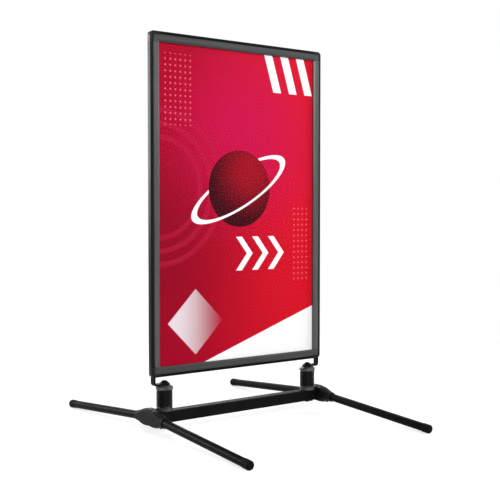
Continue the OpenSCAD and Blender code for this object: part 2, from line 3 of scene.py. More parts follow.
import bmesh
import bpy
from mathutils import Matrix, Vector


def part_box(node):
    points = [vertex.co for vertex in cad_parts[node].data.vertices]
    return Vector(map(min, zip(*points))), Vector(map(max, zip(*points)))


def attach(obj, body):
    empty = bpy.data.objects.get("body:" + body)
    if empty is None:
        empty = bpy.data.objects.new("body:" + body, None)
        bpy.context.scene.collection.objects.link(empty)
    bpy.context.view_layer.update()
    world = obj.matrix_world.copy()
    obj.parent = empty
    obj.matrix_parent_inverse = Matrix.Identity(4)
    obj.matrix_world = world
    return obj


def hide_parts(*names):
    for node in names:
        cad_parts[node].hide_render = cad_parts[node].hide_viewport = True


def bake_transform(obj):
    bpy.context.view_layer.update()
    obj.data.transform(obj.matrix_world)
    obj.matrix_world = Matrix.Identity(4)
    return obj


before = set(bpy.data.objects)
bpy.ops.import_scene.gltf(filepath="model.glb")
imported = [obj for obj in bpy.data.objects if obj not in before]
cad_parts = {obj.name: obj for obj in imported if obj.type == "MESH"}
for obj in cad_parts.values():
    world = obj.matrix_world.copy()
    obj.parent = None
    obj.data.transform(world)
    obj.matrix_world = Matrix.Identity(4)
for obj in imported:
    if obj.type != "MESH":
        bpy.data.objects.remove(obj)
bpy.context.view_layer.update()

# Base bar. A square steel tube that carries both spring units and takes the plugs of
# the two hubs in its ends. It is cut from seam-welded tube and powder coated in satin
# black, which leaves a faint orange peel.


def tone(red, green, blue):
    """A paint-card colour from 0 to 255, as the shader wants it."""
    light = []
    for part in (red / 255, green / 255, blue / 255):
        light.append(part / 12.92 if part <= 0.04045 else ((part + 0.055) / 1.055) ** 2.4)
    return (*light, 1.0)


def put(tree, kind, sockets=None, **settings):
    """One node, with its settings and its inputs, each a value or another node's output."""
    node = tree.nodes.new(kind)
    for name, value in settings.items():
        setattr(node, name, value)
    for name, value in (sockets or {}).items():
        if isinstance(value, bpy.types.NodeSocket):
            tree.links.new(value, node.inputs[name])
        else:
            node.inputs[name].default_value = value
    return node


def add(tree, kind, sockets=None, **settings):
    """One shader node, named without its first word."""
    return put(tree, "ShaderNode" + kind, sockets, **settings)


def start_finish(name, **plain):
    """A new finish: its material, its node tree, its shader and the piece's own coordinates."""
    material = bpy.data.materials.new(name)
    material.use_nodes = True
    shader = material.node_tree.nodes["Principled BSDF"]
    for socket, value in plain.items():
        shader.inputs[socket.replace("_", " ")].default_value = value
    place = add(material.node_tree, "TexCoord").outputs["Object"]
    return material, material.node_tree, shader, place


def stretched(tree, place, along, across):
    """The piece's coordinates drawn out along one axis, for marks that run lengthwise."""
    scale = tuple(across if axis != along else 1.0 for axis in "XYZ")
    return add(tree, "Mapping", {"Vector": place, "Scale": scale}).outputs["Vector"]


def blend_of(tree, share, first, second):
    """Two colours mixed: the first where the share is 0 and the second where it is 1."""
    return add(tree, "Mix", {0: share, 6: first, 7: second}, data_type="RGBA").outputs[2]


def mottled(tree, shader, place, dark, light, patch):
    """The colour drifts between two near tones in patches of about 1 / patch metres."""
    cloud = {"Vector": place, "Scale": patch, "Detail": 4.0, "Roughness": 0.6}
    cloud = add(tree, "TexNoise", cloud).outputs["Fac"]
    spread = add(tree, "MapRange", {"Value": cloud, "From Min": 0.32, "From Max": 0.68})
    colour = blend_of(tree, spread.outputs["Result"], dark, light)
    tree.links.new(colour, shader.inputs["Base Color"])
    return colour


def uneven_gloss(tree, shader, place, smooth, rough, patch):
    """The roughness drifts between two values, as a sprayed or rolled face does."""
    cloud = {"Vector": place, "Scale": patch, "Detail": 5.0, "Roughness": 0.62}
    cloud = add(tree, "TexNoise", cloud).outputs["Fac"]
    spread = {"Value": cloud, "From Min": 0.3, "From Max": 0.7, "To Min": smooth, "To Max": rough}
    spread = add(tree, "MapRange", spread)
    tree.links.new(spread.outputs["Result"], shader.inputs["Roughness"])


def raised(tree, shader, relief, height, strength):
    """A relief from 0 to 1 that bends the light as if it stood out by a height in metres."""
    bump = add(tree, "Bump", {"Height": relief, "Distance": height, "Strength": strength})
    tree.links.new(bump.outputs["Normal"], shader.inputs["Normal"])


def grained(tree, shader, place, grain, height, strength, detail=2.0):
    """A fine bump, such as orange peel or a sand-cast skin."""
    skin = {"Vector": place, "Scale": grain, "Detail": detail, "Roughness": 0.55}
    raised(tree, shader, add(tree, "TexNoise", skin).outputs["Fac"], height, strength)


def dress(material, *names):
    """Gives a finish to nodes of the frame, whose shapes are right as they are."""
    for name in names:
        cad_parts[name].material_slots[0].material = material


def powder_coat(name, dark, light, smooth, rough, sheen):
    """Sprayed and baked powder: two near tones, an uneven gloss and a fine orange peel."""
    material, tree, shader, place = start_finish(name, Specular_IOR_Level=sheen)
    mottled(tree, shader, place, dark, light, 22.0)
    uneven_gloss(tree, shader, place, smooth, rough, 60.0)
    grained(tree, shader, place, 620.0, 0.0004, 0.22)
    return material


bar_coat = powder_coat("bar powder coat", tone(6, 6, 5), tone(14, 13, 12), 0.42, 0.58, 0.05)
dress(bar_coat, "base_bar")

# Hubs. Each is one iron casting with a socket for a front and a back leg and a plug
# that goes into the bar. The skin keeps the grain of the sand mould under a dark coat,
# with a few brighter spots where the coat is thin.

CAST_CELL = 0.0012
CAST_ROUNDING = 7


def reckon(tree, how, first, second=0.0):
    """One step of arithmetic between two values or outputs."""
    return add(tree, "Math", {0: first, 1: second}, operation=how).outputs[0]


hub_cast, tree, shader, place = start_finish("hub casting", Specular_IOR_Level=0.08)
mottled(tree, shader, place, tone(5, 4, 4), tone(26, 22, 19), 75.0)
uneven_gloss(tree, shader, place, 0.34, 0.58, 140.0)
pits = add(tree, "TexVoronoi", {"Vector": place, "Scale": 700.0, "Randomness": 1.0})
sand = {"Vector": place, "Scale": 520.0, "Detail": 5.0, "Roughness": 0.6}
sand = add(tree, "TexNoise", sand).outputs["Fac"]
raised(tree, shader, reckon(tree, "ADD", sand, pits.outputs["Distance"]), 0.00035, 0.35)


def piece_of(name, mesh):
    """A mesh as a piece of its own, in place."""
    mesh.name = name
    piece = bpy.data.objects.new(name, mesh)
    bpy.context.scene.collection.objects.link(piece)
    return piece


def as_made(rough):
    """The plain mesh of an object once its modifiers have run. The object goes."""
    bpy.context.view_layer.update()
    graph = bpy.context.evaluated_depsgraph_get()
    mesh = bpy.data.meshes.new_from_object(rough.evaluated_get(graph))
    bpy.data.objects.remove(rough)
    return mesh


def cast_over(node, name, finish):
    """A plain casting again with its edges and corners rounded, as a mould leaves them."""
    merged = bmesh.new()
    merged.from_mesh(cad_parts[node].data)
    bmesh.ops.remove_doubles(merged, verts=merged.verts, dist=0.00001)
    rough = piece_of(name + "_rough", bpy.data.meshes.new(name + "_rough"))
    merged.to_mesh(rough.data)
    merged.free()
    cells = rough.modifiers.new("cells", "REMESH")
    cells.mode, cells.voxel_size = "VOXEL", CAST_CELL
    rounding = rough.modifiers.new("rounding", "SMOOTH")
    rounding.factor, rounding.iterations = 0.5, CAST_ROUNDING
    mesh = as_made(rough)
    mesh.materials.clear()
    mesh.materials.append(finish)
    mesh.shade_smooth()
    return piece_of(name, mesh)


for side in ("left", "right"):
    casting = cast_over(side + "_hub", side + "_hub_casting", hub_cast)
    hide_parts(side + "_hub")
    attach(casting, "base")

# Hub screws, base bolts and set screws. Black-oxide steel: chamfered hexagon heads under
# the bar, which hold the hubs' plugs and the lower collars, and socket set screws under
# the leg sockets.

black_oxide, tree, shader, place = start_finish(
    "black oxide screws", Metallic=0.5, Specular_IOR_Level=0.3
)
mottled(tree, shader, place, tone(20, 20, 22), tone(42, 41, 42), 180.0)
uneven_gloss(tree, shader, place, 0.24, 0.42, 500.0)
grained(tree, shader, place, 1500.0, 0.0001, 0.2)
dress(black_oxide, "leg_set_screws")


def modifier_tree(name, sizes):
    """An empty node tree for a modifier, with a named input for each size."""
    group = bpy.data.node_groups.new(name, "GeometryNodeTree")
    group.interface.new_socket("Mesh", in_out="OUTPUT", socket_type="NodeSocketGeometry")
    kinds = {int: "Int", float: "Float", bpy.types.Material: "Material"}
    for label, value in sizes.items():
        kind = "NodeSocket" + kinds[type(value)]
        socket = group.interface.new_socket(label, in_out="INPUT", socket_type=kind)
        if not isinstance(value, bpy.types.Material):
            socket.default_value = value
    return group, group.nodes.new("NodeGroupInput"), group.nodes.new("NodeGroupOutput")


def point_at(group, x=0.0, y=0.0, z=0.0):
    """Three distances as one place. Each is a value or an output."""
    return add(group, "CombineXYZ", {0: x, 1: y, 2: z}).outputs[0]


def grown(name, group, sizes):
    """Runs a tree once and keeps its plain mesh, under the given name."""
    seed = piece_of(name + "_seed", bpy.data.meshes.new(name + "_seed"))
    work = seed.modifiers.new("shape", "NODES")
    work.node_group = group
    for item in group.interface.items_tree:
        if item.item_type == "SOCKET" and item.in_out == "INPUT":
            work[item.identifier] = sizes[item.name]
    return piece_of(name, as_made(seed))


def joined(group, *parts):
    """Several meshes as one."""
    join = put(group, "GeometryNodeJoinGeometry")
    for part in parts:
        group.links.new(part, join.inputs["Geometry"])
    return join.outputs["Geometry"]


def shifted(group, mesh, x=0.0, y=0.0, z=0.0, turn=(0.0, 0.0, 0.0)):
    """A mesh moved and turned. Each distance is a value or an output."""
    move = {"Geometry": mesh, "Translation": point_at(group, x, y, z), "Rotation": turn}
    return put(group, "GeometryNodeTransform", move).outputs["Geometry"]


def finished(group, result, mesh, finish):
    """Ends a tree: real meshes with their finish."""
    real = put(group, "GeometryNodeRealizeInstances", {"Geometry": mesh}).outputs["Geometry"]
    coated = put(group, "GeometryNodeSetMaterial", {"Geometry": real, "Material": finish})
    group.links.new(coated.outputs["Geometry"], result.inputs["Mesh"])


def round_bar(group, sides, radius, length):
    """A round bar, upright about the origin."""
    size = {"Vertices": sides, "Radius": radius, "Depth": length}
    return put(group, "GeometryNodeMeshCylinder", size).outputs["Mesh"]


def cone(group, sides, top, bottom, height):
    """A round taper that stands on the origin."""
    size = {"Vertices": sides, "Radius Top": top, "Radius Bottom": bottom, "Depth": height}
    return put(group, "GeometryNodeMeshCone", size).outputs["Mesh"]


def set_out(group, result, places, thing, finish, turn=(0.0, 0.0, 0.0)):
    """Ends a tree with the same thing at each place."""
    row = {"Points": places, "Instance": thing, "Rotation": turn}
    row = put(group, "GeometryNodeInstanceOnPoints", row)
    finished(group, result, row.outputs["Instances"], finish)


SPRING_X = 0.317
HEAD_SPARE = 0.001
BAR_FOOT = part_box("base_bar")[0][2]
collar_bolt = {
    "Reach": SPRING_X,
    "Seat Height": BAR_FOOT,
    "Shank Radius": 0.005,
    "Shank Length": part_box("base_bolts")[1][2] - BAR_FOOT,
    "Head Radius": 0.010,
    "Head Height": 0.006,
    "Chamfer": 0.0012,
    "Finish": black_oxide,
}
hub_bolt = {
    **collar_bolt,
    "Reach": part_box("hub_screws")[1][0] - 0.008,
    "Shank Radius": 0.004,
    "Shank Length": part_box("hub_screws")[1][2] - BAR_FOOT,
    "Head Radius": 0.008,
}
bolt, given, result = modifier_tree("hexagon bolt", collar_bolt)
ask = given.outputs
radius, height, chamfer = ask["Head Radius"], ask["Head Height"], ask["Chamfer"]

# The head is what a turned taper and a hexagon bar share. Each reaches past the other, so
# that no two faces lie flush, and the taper's flats, not its edges, meet the corners.
tall = reckon(bolt, "ADD", height, HEAD_SPARE)
foot_radius = reckon(bolt, "SUBTRACT", radius, chamfer)
taper = cone(bolt, 48, reckon(bolt, "ADD", foot_radius, tall), foot_radius, tall)
taper = shifted(bolt, taper, turn=(0.0, 0.0, math.pi / 48))
middle = reckon(bolt, "MULTIPLY", reckon(bolt, "SUBTRACT", height, HEAD_SPARE), 0.5)
hexagon = shifted(bolt, round_bar(bolt, 6, radius, tall), z=middle)
head = put(bolt, "GeometryNodeMeshBoolean", operation="INTERSECT")
bolt.links.new(taper, head.inputs["Mesh 2"])
bolt.links.new(hexagon, head.inputs["Mesh 2"])

shank = round_bar(bolt, 32, ask["Shank Radius"], ask["Shank Length"])
half_shank = reckon(bolt, "MULTIPLY", ask["Shank Length"], 0.5)
shank = shifted(bolt, shank, z=reckon(bolt, "ADD", height, half_shank))
apart = point_at(bolt, x=reckon(bolt, "MULTIPLY", ask["Reach"], 2.0))
ends = put(bolt, "GeometryNodeMeshLine", {"Count": 2, "Offset": apart}).outputs["Mesh"]
first_end = reckon(bolt, "MULTIPLY", ask["Reach"], -1.0)
head_foot = reckon(bolt, "SUBTRACT", ask["Seat Height"], height)
ends = shifted(bolt, ends, x=first_end, z=head_foot)
set_out(bolt, result, ends, joined(bolt, head.outputs["Mesh"], shank), ask["Finish"])

for name, node, sizes in (
    ("collar_hex_bolts", "base_bolts", collar_bolt),
    ("hub_hex_screws", "hub_screws", hub_bolt),
):
    bolts = grown(name, bolt, sizes)
    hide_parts(node)
    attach(bolts, "base")

# Legs. Four round steel tubes, each pushed into its hub socket. Powder coated like the
# bar, with fine draw lines along the tube under the coat.

legs_coat, tree, shader, place = start_finish("leg powder coat", Specular_IOR_Level=0.03)
mottled(tree, shader, place, tone(6, 5, 5), tone(14, 12, 11), 26.0)
uneven_gloss(tree, shader, place, 0.34, 0.48, 70.0)
lines = stretched(tree, place, "Y", 60.0)
grained(tree, shader, lines, 9.0, 0.0003, 0.16, 3.0)
dress(legs_coat, "front_left_leg", "front_right_leg", "back_left_leg", "back_right_leg")

# Leg tips. Moulded rubber caps over the tube ends, with a flat sole cut level with the
# ground. Matt and slightly grey where they have been handled.

tip_rubber, tree, shader, place = start_finish("tip rubber", Specular_IOR_Level=0.06)
mottled(tree, shader, place, tone(6, 6, 6), tone(14, 14, 13), 90.0)
uneven_gloss(tree, shader, place, 0.62, 0.82, 160.0)
grained(tree, shader, place, 1100.0, 0.0002, 0.35, 4.0)
dress(tip_rubber, "front_left_tip", "front_right_tip", "back_left_tip", "back_right_tip")

# Spring collars. Turned steel: the lower one is bolted to the bar and the upper one to
# the bracket, and a spigot on each goes into the spring. Lathe marks run round them
# under a thin black finish.

collar_finish, tree, shader, place = start_finish(
    "collar blackening", Metallic=0.6, Specular_IOR_Level=0.3
)
mottled(tree, shader, place, tone(50, 49, 48), tone(96, 95, 93), 60.0)
uneven_gloss(tree, shader, place, 0.22, 0.40, 120.0)
lathe_marks = {"Vector": place, "Scale": 420.0, "Distortion": 0.4}
lathe_marks = add(tree, "TexWave", lathe_marks, bands_direction="Z")
raised(tree, shader, lathe_marks.outputs["Fac"], 0.00012, 0.35)
for side in ("left", "right"):
    dress(collar_finish, side + "_bottom_collar", side + "_top_collar")

# Coil springs. Round spring wire wound in eight turns, with each end bent straight and
# held against a stop on its collar. They are what lets the sign lean in the wind.

COIL_TURNS = 8
RINGS_PER_TURN = 64
COIL_LIFT = 0.0034
END_GAP = 0.0004
SPRING_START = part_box("left_spring")[0][2] - END_GAP

spring_coat = powder_coat(
    "spring powder coat", tone(7, 6, 6), tone(17, 15, 14), 0.32, 0.44, 0.10
)
spring_sizes = {
    "Centre X": SPRING_X,
    "Foot Height": SPRING_START + COIL_LIFT,
    "Coil Radius": 0.0245,
    "Pitch": 0.007,
    "Turns": COIL_TURNS,
    "Straight End": 0.006,
    "Wire Radius": 0.0033,
    "Rings": RINGS_PER_TURN * COIL_TURNS + 1,
    "Sides": 20,
    "Finish": spring_coat,
}
coil, given, result = modifier_tree("wound spring", spring_sizes)
ask = given.outputs
line = put(coil, "GeometryNodeMeshLine", {"Count": ask["Rings"]}).outputs["Mesh"]
number = put(coil, "GeometryNodeInputIndex").outputs[0]

# How far along the wire each ring lies, below zero and past the turns on the straight ends.
turn_length = reckon(coil, "MULTIPLY", ask["Coil Radius"], math.tau)
wound = reckon(coil, "MULTIPLY", turn_length, ask["Turns"])
both_ends = reckon(coil, "MULTIPLY", ask["Straight End"], 2.0)
wire_length = reckon(coil, "ADD", wound, both_ends)
share = reckon(coil, "DIVIDE", number, reckon(coil, "SUBTRACT", ask["Rings"], 1.0))
run = reckon(coil, "MULTIPLY", share, wire_length)
run = reckon(coil, "SUBTRACT", run, ask["Straight End"])
on_coil = reckon(coil, "MINIMUM", reckon(coil, "MAXIMUM", run, 0.0), wound)
past = reckon(coil, "SUBTRACT", run, on_coil)

turns_done = reckon(coil, "DIVIDE", on_coil, turn_length)
angle = reckon(coil, "MULTIPLY", turns_done, math.tau)
east = reckon(coil, "MULTIPLY", reckon(coil, "COSINE", angle), ask["Coil Radius"])
north = reckon(coil, "MULTIPLY", reckon(coil, "SINE", angle), ask["Coil Radius"])
rise = reckon(coil, "MULTIPLY", turns_done, ask["Pitch"])
ring_place = point_at(
    coil,
    x=reckon(coil, "ADD", east, ask["Centre X"]),
    y=reckon(coil, "ADD", north, past),
    z=reckon(coil, "ADD", rise, ask["Foot Height"]),
)
path = put(coil, "GeometryNodeSetPosition", {"Geometry": line, "Position": ring_place})
curve = put(coil, "GeometryNodeMeshToCurve", {"Mesh": path.outputs["Geometry"]})
wire = {"Resolution": ask["Sides"], "Radius": ask["Wire Radius"]}
wire = put(coil, "GeometryNodeCurvePrimitiveCircle", wire).outputs["Curve"]
tube = {"Curve": curve.outputs["Curve"], "Profile Curve": wire, "Fill Caps": True}
tube = put(coil, "GeometryNodeCurveToMesh", tube)
finished(coil, result, tube.outputs["Mesh"], ask["Finish"])

for side, middle in (("left", -SPRING_X), ("right", SPRING_X)):
    spring = grown(side + "_coil_spring", coil, {**spring_sizes, "Centre X": middle})
    spring.data.shade_smooth()
    spring.data.set_sharp_from_angle(angle=math.radians(50))
    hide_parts(side + "_spring")
    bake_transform(spring)

# Brackets, with their bolts and washers. Each bracket is a steel strap bent to a foot
# with a round eye and welded to the lower corner's keys. A domed bolt and a washer hold
# the eye to the upper collar.

bracket_coat = powder_coat(
    "bracket powder coat", tone(6, 6, 6), tone(14, 13, 13), 0.34, 0.48, 0.06
)
dress(bracket_coat, "left_bracket", "right_bracket")

bolt_black, tree, shader, place = start_finish("domed bolt", Metallic=0.1, Specular_IOR_Level=0.1)
mottled(tree, shader, place, tone(11, 11, 11), tone(22, 21, 20), 120.0)
uneven_gloss(tree, shader, place, 0.16, 0.30, 300.0)
grained(tree, shader, place, 900.0, 0.0001, 0.15)
dress(bolt_black, "top_bolts", "top_washers")

# Frame. Two stiles and two channels of extruded aluminium, anodised black, with a slot
# for the backing panel and a bead socket along each face for the snap rails. The die
# leaves fine lines along each length.


def anodised(name, along, dark, light, smooth, rough, sheen):
    """Anodised extrusion: even colour, and die lines along its length."""
    material, tree, shader, place = start_finish(
        name, Metallic=sheen, Specular_IOR_Level=sheen
    )
    drawn = stretched(tree, place, along, 40.0)
    mottled(tree, shader, drawn, dark, light, 5.0)
    uneven_gloss(tree, shader, drawn, smooth, rough, 14.0)
    grained(tree, shader, drawn, 26.0, 0.0002, 0.14, 3.0)
    return material


stile_black = anodised(
    "stile anodising", "Z", tone(12, 12, 13), tone(22, 22, 22), 0.28, 0.40, 0.08
)
# The channels take a darker tone than the stiles of the same extrusion: painted shade along the
# top and bottom of the frame.
channel_black_painted_shade = anodised(
    "channel anodising with painted shade", "X", tone(5, 5, 5), tone(12, 12, 12), 0.32, 0.44, 0.05
)
dress(stile_black, "left_stile", "right_stile")
dress(channel_black_painted_shade, "top_channel", "bottom_channel")

# Corner caps. Injection-moulded plastic corners that close the ends of the extrusions
# and round off the frame: a black rim, which is the frame's black and also painted shade
# where the rounded shoulder turns away, and a face in the grey of the rails inside a
# groove. The mould has a fine spark-eroded texture.

CAP_FACE_INSET = 0.0122
FRAME_HALF_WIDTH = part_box("right_stile")[1][0]
FRAME_FOOT, FRAME_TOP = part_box("bottom_left_cap")[0][2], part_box("top_left_cap")[1][2]
cap_plastic, tree, shader, place = start_finish("cap plastic with painted rim shade", Specular_IOR_Level=0.15)
# The outer band is the frame's black and also painted shade on the shoulder that turns away from
# the face.
black_rim_and_shade = mottled(tree, shader, place, tone(8, 8, 8), tone(16, 16, 16), 50.0)
face_tone = mottled(tree, shader, place, tone(50, 51, 51), tone(66, 68, 68), 50.0)
spot = add(tree, "SeparateXYZ", {"Vector": place}).outputs
from_side = reckon(tree, "SUBTRACT", FRAME_HALF_WIDTH, reckon(tree, "ABSOLUTE", spot["X"]))
from_foot = reckon(tree, "SUBTRACT", spot["Z"], FRAME_FOOT)
from_top = reckon(tree, "SUBTRACT", FRAME_TOP, spot["Z"])
from_edge = reckon(tree, "MINIMUM", from_foot, from_top)
from_edge = reckon(tree, "MINIMUM", from_side, from_edge)
on_face = reckon(tree, "GREATER_THAN", from_edge, CAP_FACE_INSET)
two_tone_with_painted_shade = blend_of(tree, on_face, black_rim_and_shade, face_tone)
tree.links.new(two_tone_with_painted_shade, shader.inputs["Base Color"])
uneven_gloss(tree, shader, place, 0.30, 0.42, 200.0)
grained(tree, shader, place, 1400.0, 0.00015, 0.3, 3.0)
for height in ("top", "bottom"):
    dress(cap_plastic, height + "_left_cap", height + "_right_cap")

# Corner keys, corner screws and the leaf springs under the rails. Zinc-plated steel
# strip and black countersunk screws.

zinc, tree, shader, place = start_finish("zinc plating", Metallic=0.9)
mottled(tree, shader, place, tone(150, 152, 156), tone(186, 188, 190), 160.0)
uneven_gloss(tree, shader, place, 0.26, 0.44, 260.0)
grained(tree, shader, place, 1300.0, 0.0001, 0.2)
dress(zinc, "corner_keys", "front_rail_springs", "back_rail_springs")

SLOT_STEP = 0.00002
screw_sizes = {
    "Wide Reach": 0.3667,
    "Wide Rise": 0.552,
    "Narrow Reach": 0.3485,
    "Narrow Rise": 0.5702,
    "Middle Height": (FRAME_FOOT + FRAME_TOP) / 2,
    "Face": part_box("corner_screws")[1][1],
    "Shank Radius": 0.0015,
    "Head Radius": 0.0027,
    "Head Depth": 0.0015,
    "Length": 0.0075,
    "Slot Width": 0.0007,
    "Slot Depth": 0.0010,
    "Finish": black_oxide,
}
screw, given, result = modifier_tree("cross-head screw", screw_sizes)
ask = given.outputs
sink = ask["Head Depth"]
head = cone(screw, 32, ask["Head Radius"], ask["Shank Radius"], sink)
head = shifted(screw, head, z=reckon(screw, "MULTIPLY", sink, -1.0))
slot_size = point_at(
    screw,
    x=ask["Slot Width"],
    y=reckon(screw, "MULTIPLY", ask["Head Radius"], 1.25),
    z=reckon(screw, "MULTIPLY", ask["Slot Depth"], 2.0),
)
slot = put(screw, "GeometryNodeMeshCube", {"Size": slot_size}).outputs["Mesh"]
recess = put(screw, "GeometryNodeMeshBoolean", {"Mesh 1": head}, operation="DIFFERENCE")

# The second slot is cut a hair deeper, so that the two floors don't lie flush.
for turn, drop in ((0.0, 0.0), (math.pi / 2, -SLOT_STEP)):
    cutter = shifted(screw, slot, z=drop, turn=(0.0, 0.0, turn))
    screw.links.new(cutter, recess.inputs["Mesh 2"])

shank_length = reckon(screw, "SUBTRACT", ask["Length"], sink)
shank = round_bar(screw, 24, ask["Shank Radius"], shank_length)
shank_middle = reckon(screw, "MULTIPLY", reckon(screw, "ADD", ask["Length"], sink), -0.5)
whole_screw = joined(screw, recess.outputs["Mesh"], shifted(screw, shank, z=shank_middle))
corners = []
for reach, rise in (("Wide Reach", "Wide Rise"), ("Narrow Reach", "Narrow Rise")):
    wide = reckon(screw, "MULTIPLY", ask[reach], 2.0)
    tall = reckon(screw, "MULTIPLY", ask[rise], 2.0)
    grid = {"Vertices X": 2, "Vertices Y": 2, "Size X": wide, "Size Y": tall}
    grid = put(screw, "GeometryNodeMeshGrid", grid).outputs["Mesh"]
    upright = (math.pi / 2, 0.0, 0.0)
    grid = shifted(screw, grid, y=ask["Face"], z=ask["Middle Height"], turn=upright)
    corners.append(grid)
facing_back = (-math.pi / 2, 0.0, 0.0)
places = joined(screw, *corners)
set_out(screw, result, places, whole_screw, ask["Finish"], facing_back)
screws = grown("corner_cross_screws", screw, screw_sizes)
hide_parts("corner_screws")
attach(screws, "sign")

# Backing panel. A stiff sheet of white plastic in the middle of the frame, which holds
# the two posters flat, one on each side.

panel_white, tree, shader, place = start_finish("panel plastic")
mottled(tree, shader, place, tone(212, 212, 208), tone(224, 224, 221), 14.0)
uneven_gloss(tree, shader, place, 0.42, 0.55, 40.0)
grained(tree, shader, place, 800.0, 0.0001, 0.15)
dress(panel_white, "backing_panel")

# Posters. Printed paper behind each clear cover, one on each side. The print is made up
# for this sign: slanted bars, a shaded ball with a ring, chevrons, patches of dots, a
# fading square and a white foot on a crimson ground. Its distances are in metres.

POSTER_MIDDLE = (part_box("front_poster")[0][2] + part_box("front_poster")[1][2]) / 2
CRIMSON, MAGENTA, SCARLET = tone(160, 0, 34), tone(192, 8, 72), tone(204, 12, 34)
PAPER_WHITE, MAROON, ROSE = tone(246, 245, 246), tone(88, 2, 22), tone(178, 22, 60)
BALL_LIT, BALL_SHADED = tone(150, 10, 30), tone(58, 3, 16)
SQUARE_PINK, DOT_PINK = tone(226, 212, 218), tone(222, 84, 92)
BALL_HEIGHT, BALL_RADIUS = 0.06, 0.135
RING_TILT, RING_FLATNESS = 28.0, 3.4
RING_INNER, RING_OUTER = 0.205, 0.232
FOOT_SLOPE, FOOT_LEVEL = 0.34, -0.49
DOT_PITCH, DOT_SPREAD = 0.02, 0.03


def poster_print(name, facing):
    """The print on paper. Facing is 1 for the front and -1 for the back, which mirrors it."""
    material, tree, shader, place = start_finish(name, Specular_IOR_Level=0.02)
    centred = {"Vector": place, "Location": (0, 0, POSTER_MIDDLE), "Scale": (facing, 1, 1)}
    centred = add(tree, "Mapping", centred, vector_type="TEXTURE").outputs["Vector"]
    split = add(tree, "SeparateXYZ", {"Vector": centred}).outputs
    across, up = split["X"], split["Z"]

    def maths(how, first, second=0.0):
        return reckon(tree, how, first, second)

    def turned(x, z, degrees):
        """The distances across and up from a point, on axes turned by an angle."""
        tilt = (0, -math.radians(degrees), 0)
        about = {"Vector": centred, "Location": (x, 0, z), "Rotation": tilt}
        about = add(tree, "Mapping", about, vector_type="TEXTURE").outputs["Vector"]
        parts = add(tree, "SeparateXYZ", {"Vector": about}).outputs
        return parts["X"], parts["Z"]

    def slab(x, z, wide, tall, degrees=0.0, lean=0.0):
        """1 inside a block, which may be turned or leaned over, and 0 outside."""
        a, b = turned(x, z, degrees)
        if lean:
            a = maths("SUBTRACT", a, maths("MULTIPLY", b, lean))
        in_width = maths("LESS_THAN", maths("ABSOLUTE", a), wide / 2)
        in_height = maths("LESS_THAN", maths("ABSOLUTE", b), tall / 2)
        return maths("MULTIPLY", in_width, in_height)

    def squares(a, b):
        return maths("ADD", maths("POWER", a, 2.0), maths("POWER", b, 2.0))

    def distance(x, z):
        return maths("SQRT", squares(maths("SUBTRACT", across, x), maths("SUBTRACT", up, z)))

    def between(value, low, high):
        above, below = maths("GREATER_THAN", value, low), maths("LESS_THAN", value, high)
        return maths("MULTIPLY", above, below)

    def fade(value, low, high, top=1.0):
        """A soft rise from 0 to the top as the value goes from low to high."""
        ramp = {"Value": value, "From Min": low, "From Max": high, "To Max": top}
        ramp = add(tree, "MapRange", ramp, interpolation_type="SMOOTHSTEP")
        return ramp.outputs["Result"]

    def over(below, colour, mask):
        return blend_of(tree, mask, below, colour)

    ground = over(CRIMSON, SCARLET, fade(across, -0.30, 0.30))
    ground = over(ground, MAGENTA, fade(distance(0.02, 0.24), 0.46, 0.05, 0.8))
    ground = over(ground, MAROON, fade(distance(-0.36, -0.12), 0.5, 0.0, 0.35))
    for radius in (0.16, 0.205, 0.25):
        ripple = between(distance(-0.34, 0.06), radius, radius + 0.018)
        ground = over(ground, ROSE, maths("MULTIPLY", ripple, 0.55))
    for step in range(3):
        bar = slab(0.292 - 0.074 * step, 0.49, 0.036, 0.16, lean=-0.32)
        ground = over(ground, PAPER_WHITE, bar)

    ball = maths("LESS_THAN", distance(0.0, BALL_HEIGHT), BALL_RADIUS)
    shade = over(BALL_LIT, BALL_SHADED, fade(distance(0.045, 0.12), 0.02, 0.19))
    ground = over(ground, shade, ball)
    a, b = turned(0.0, BALL_HEIGHT, RING_TILT)
    from_ball = maths("SQRT", squares(a, maths("MULTIPLY", b, RING_FLATNESS)))
    ring = between(from_ball, RING_INNER, RING_OUTER)
    behind = maths("MULTIPLY", ball, maths("GREATER_THAN", b, 0.0))
    ring = maths("MULTIPLY", ring, maths("SUBTRACT", 1.0, behind))
    ground = over(ground, PAPER_WHITE, ring)

    for step in range(3):
        for half in (1.0, -1.0):
            x, z = 0.02 + 0.072 * step, -0.17 + 0.03 * half
            ground = over(ground, PAPER_WHITE, slab(x, z, 0.026, 0.06, lean=-0.8 * half))
    foot = maths("SUBTRACT", up, maths("MULTIPLY", across, FOOT_SLOPE))
    foot = maths("LESS_THAN", foot, FOOT_LEVEL)
    ground = over(ground, PAPER_WHITE, foot)
    square = slab(-0.19, -0.40, 0.16, 0.16, 45.0)
    square = maths("MULTIPLY", square, maths("SUBTRACT", 1.0, foot))
    square = maths("MULTIPLY", square, fade(across, -0.06, -0.28))
    ground = over(ground, SQUARE_PINK, square)

    from_dot = []
    for way in (across, up):
        cell = maths("FRACT", maths("MULTIPLY", way, 1 / DOT_PITCH))
        from_dot.append(maths("SUBTRACT", cell, 0.5))
    dot = maths("LESS_THAN", squares(*from_dot), DOT_SPREAD)
    for x, z, wide, tall in ((-0.26, 0.39, 0.12, 0.24), (0.28, -0.14, 0.08, 0.28)):
        patch = maths("MULTIPLY", dot, slab(x, z, wide, tall))
        ground = over(ground, DOT_PINK, patch)
    tree.links.new(ground, shader.inputs["Base Color"])
    uneven_gloss(tree, shader, place, 0.46, 0.56, 30.0)
    grained(tree, shader, place, 500.0, 0.00006, 0.12, 5.0)
    return material


dress(poster_print("front poster print", 1), "front_poster")
dress(poster_print("back poster print", -1), "back_poster")

# Clear covers. A thin sheet of anti-glare plastic in front of each poster, held down by
# the rails' lips.

